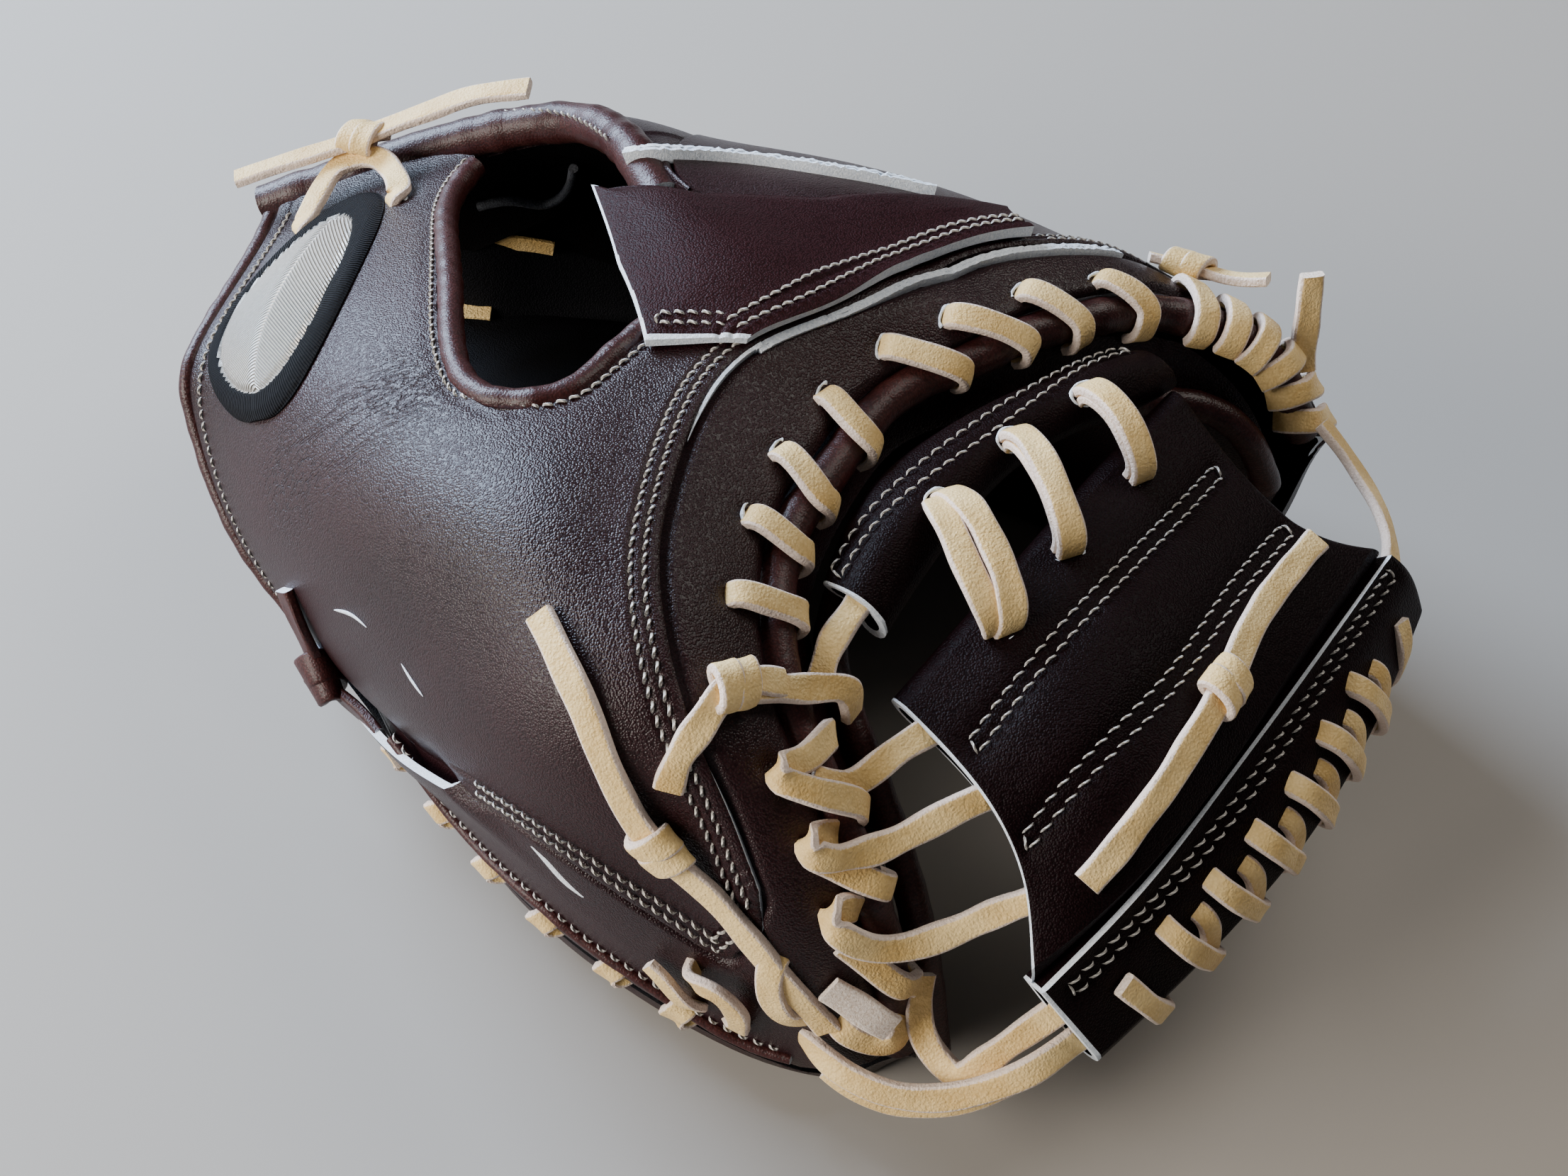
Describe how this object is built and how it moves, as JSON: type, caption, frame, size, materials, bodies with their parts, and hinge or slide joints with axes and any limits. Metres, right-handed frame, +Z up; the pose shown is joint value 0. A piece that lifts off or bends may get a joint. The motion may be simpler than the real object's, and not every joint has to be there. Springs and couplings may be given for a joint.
{
  "type": "catcher mitt",
  "caption": "Padded left-hand baseball catcher mitt, lying palm down: back opening, wrist strap, laced rim, rolled bindings and a laced web.",
  "frame": {"origin": "centre of the bounding box's footprint, on the floor that the mitt lies on", "axes": "+Z up as it lies palm down, +X from the wrist to the web, +Y from the thumb side to the finger side"},
  "size_m": [0.3218, 0.2252, 0.1309],
  "materials": {
    "leather": "satin dark brown grained leather",
    "lining": "matt dark palm leather over padding",
    "binding": "satin reddish brown rolled leather",
    "web": "satin dark brown folded leather",
    "lace": "matt tan rawhide",
    "patch": "silver grey embroidery"
  },
  "bodies": {
    "root": {"thumb_knot": "lace", "crotch_knot": "lace", "web_knot": "lace", "wrist_knot": "lace", "tip_knot": "lace", "edge_thong": "binding", "wrist_lace": "lace", "rim_lace_1": "lace", "rim_lace_2": "lace", "rim_lace_3": "lace", "rim_lace_4": "lace", "rim_lace_5": "lace", "rim_lace_6": "lace", "rim_lace_7": "lace", "tip_lace_1": "lace", "tip_lace_2": "lace", "tip_lace_3": "lace", "tip_lace_4": "lace", "tip_lace_5": "lace", "tip_lace_6": "lace", "crotch_lace_1": "lace", "crotch_lace_2": "lace", "crotch_lace_3": "lace", "crotch_lace_4": "lace", "crotch_lace_5": "lace", "crotch_lace_6": "lace", "web_loop_1": "lace", "web_loop_2": "lace", "web_loop_3": "lace", "tip_tail": "lace", "edge_tie": "lace", "lower_loop_outer": "lace", "lower_loop_inner": "lace", "edge_spiral": "lace", "thumb_edge_lace": "lace", "finger_edge_lace": "lace", "crotch_roll": "binding", "heel_roll": "binding", "opening_binding": "binding", "wrist_piping": "binding", "palm_roll": "binding", "index_flap": "leather", "rim_panel": "leather", "strap_patch": "patch", "web_strip": "web", "web_edge": "web", "web_panel": "web", "hand_back": "leather", "finger_back": "leather", "heel_side": "leather", "palm_pad": "lining"}
  },
  "joints": []
}
